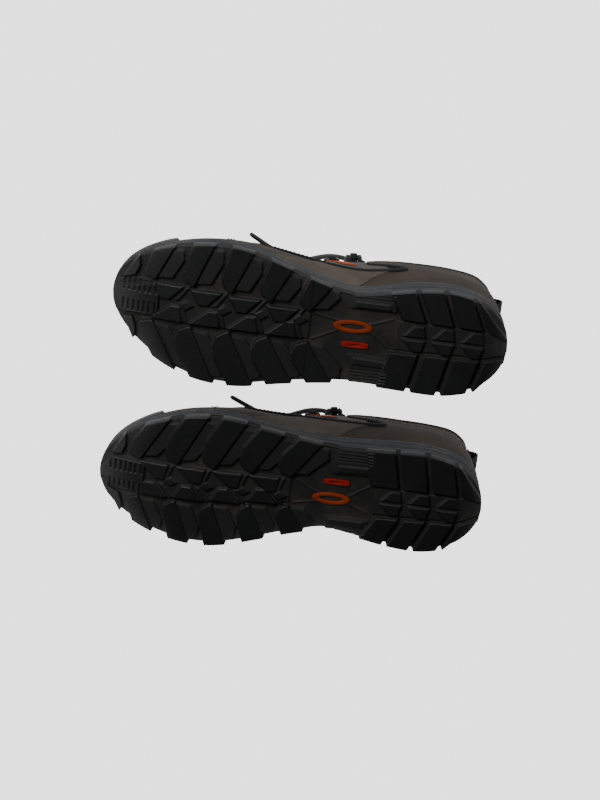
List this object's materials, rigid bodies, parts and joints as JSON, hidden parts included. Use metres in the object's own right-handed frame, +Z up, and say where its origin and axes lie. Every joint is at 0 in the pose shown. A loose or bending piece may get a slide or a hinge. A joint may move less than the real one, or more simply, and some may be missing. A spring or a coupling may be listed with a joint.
{
  "type": "hiking boots",
  "caption": "Pair of low-cut hiking boots with lugged rubber soles, foam midsoles, nubuck uppers, padded collars, tongues and tied laces.",
  "frame": {"origin": "on the ground, in the middle of the pair's outline", "axes": "+Z up, +X towards the heels so the toes point to -X, left boot on the +Y side with its inner edge facing +Y, right boot its mirror image on the -Y side"},
  "size_m": [0.3001, 0.248, 0.1297],
  "materials": {
    "nubuck": "brown-grey nubuck, matt",
    "rubber": "black moulded rubber, matt, worn and dusty",
    "foam": "blue-grey moulded foam, matt",
    "webbing": "black woven webbing",
    "mesh": "light grey open mesh",
    "orange": "orange moulded film",
    "red": "red moulded rubber",
    "lining": "black knitted lining",
    "board": "pale fibreboard and nylon",
    "footbed": "dark grey fabric over foam",
    "lace": "black round braided lace",
    "aglet": "black plastic tip"
  },
  "bodies": {
    "left_boot": {"left_aglet_lateral": "aglet", "left_aglet_medial": "aglet", "left_collar_pad": "lining", "left_eyestay_lateral": "webbing", "left_eyestay_medial": "webbing", "left_heel_counter": "board", "left_heel_pull": "webbing", "left_lace": "lace", "left_lace_end_lateral": "lace", "left_lace_end_medial": "lace", "left_lasting_board": "board", "left_midsole": "foam", "left_outsole": "rubber", "left_quarter_lateral": "nubuck", "left_quarter_lining": "lining", "left_quarter_medial": "nubuck", "left_shank": "board", "left_side_stripe_lateral": "orange", "left_side_stripe_medial": "orange", "left_side_trim_lateral": "webbing", "left_side_trim_medial": "webbing", "left_side_window_lateral": "mesh", "left_side_window_medial": "mesh", "left_sole_bar": "red", "left_sole_ring": "orange", "left_toe_cap": "rubber", "left_vamp": "nubuck", "left_vamp_lining": "lining"},
    "left_tongue": {"left_tongue": "lining"},
    "left_footbed": {"left_footbed": "footbed"},
    "right_boot": {"right_aglet_lateral": "aglet", "right_aglet_medial": "aglet", "right_collar_pad": "lining", "right_eyestay_lateral": "webbing", "right_eyestay_medial": "webbing", "right_heel_counter": "board", "right_heel_pull": "webbing", "right_lace": "lace", "right_lace_end_lateral": "lace", "right_lace_end_medial": "lace", "right_lasting_board": "board", "right_midsole": "foam", "right_outsole": "rubber", "right_quarter_lateral": "nubuck", "right_quarter_lining": "lining", "right_quarter_medial": "nubuck", "right_shank": "board", "right_side_stripe_lateral": "orange", "right_side_stripe_medial": "orange", "right_side_trim_lateral": "webbing", "right_side_trim_medial": "webbing", "right_side_window_lateral": "mesh", "right_side_window_medial": "mesh", "right_sole_bar": "red", "right_sole_ring": "orange", "right_toe_cap": "rubber", "right_vamp": "nubuck", "right_vamp_lining": "lining"},
    "right_tongue": {"right_tongue": "lining"},
    "right_footbed": {"right_footbed": "footbed"}
  },
  "joints": [
    {"name": "right_boot_lift", "type": "slide", "parent": "left_boot", "child": "right_boot", "axis": [0, 0, 1], "range_m": [0, 0.15]},
    {"name": "left_tongue_fold", "type": "hinge", "parent": "left_boot", "child": "left_tongue", "pos_m": [-0.0483, 0.0698, 0.0611], "axis": [0, 1, 0], "range_deg": [0, 8]},
    {"name": "left_footbed_lift", "type": "hinge", "parent": "left_boot", "child": "left_footbed", "pos_m": [-0.139, 0.075, 0.0328], "axis": [0, -1, 0], "range_deg": [0, 3]},
    {"name": "right_tongue_fold", "type": "hinge", "parent": "right_boot", "child": "right_tongue", "pos_m": [-0.0483, -0.0698, 0.0611], "axis": [0, 1, 0], "range_deg": [0, 8]},
    {"name": "right_footbed_lift", "type": "hinge", "parent": "right_boot", "child": "right_footbed", "pos_m": [-0.139, -0.075, 0.0328], "axis": [0, -1, 0], "range_deg": [0, 3]}
  ]
}
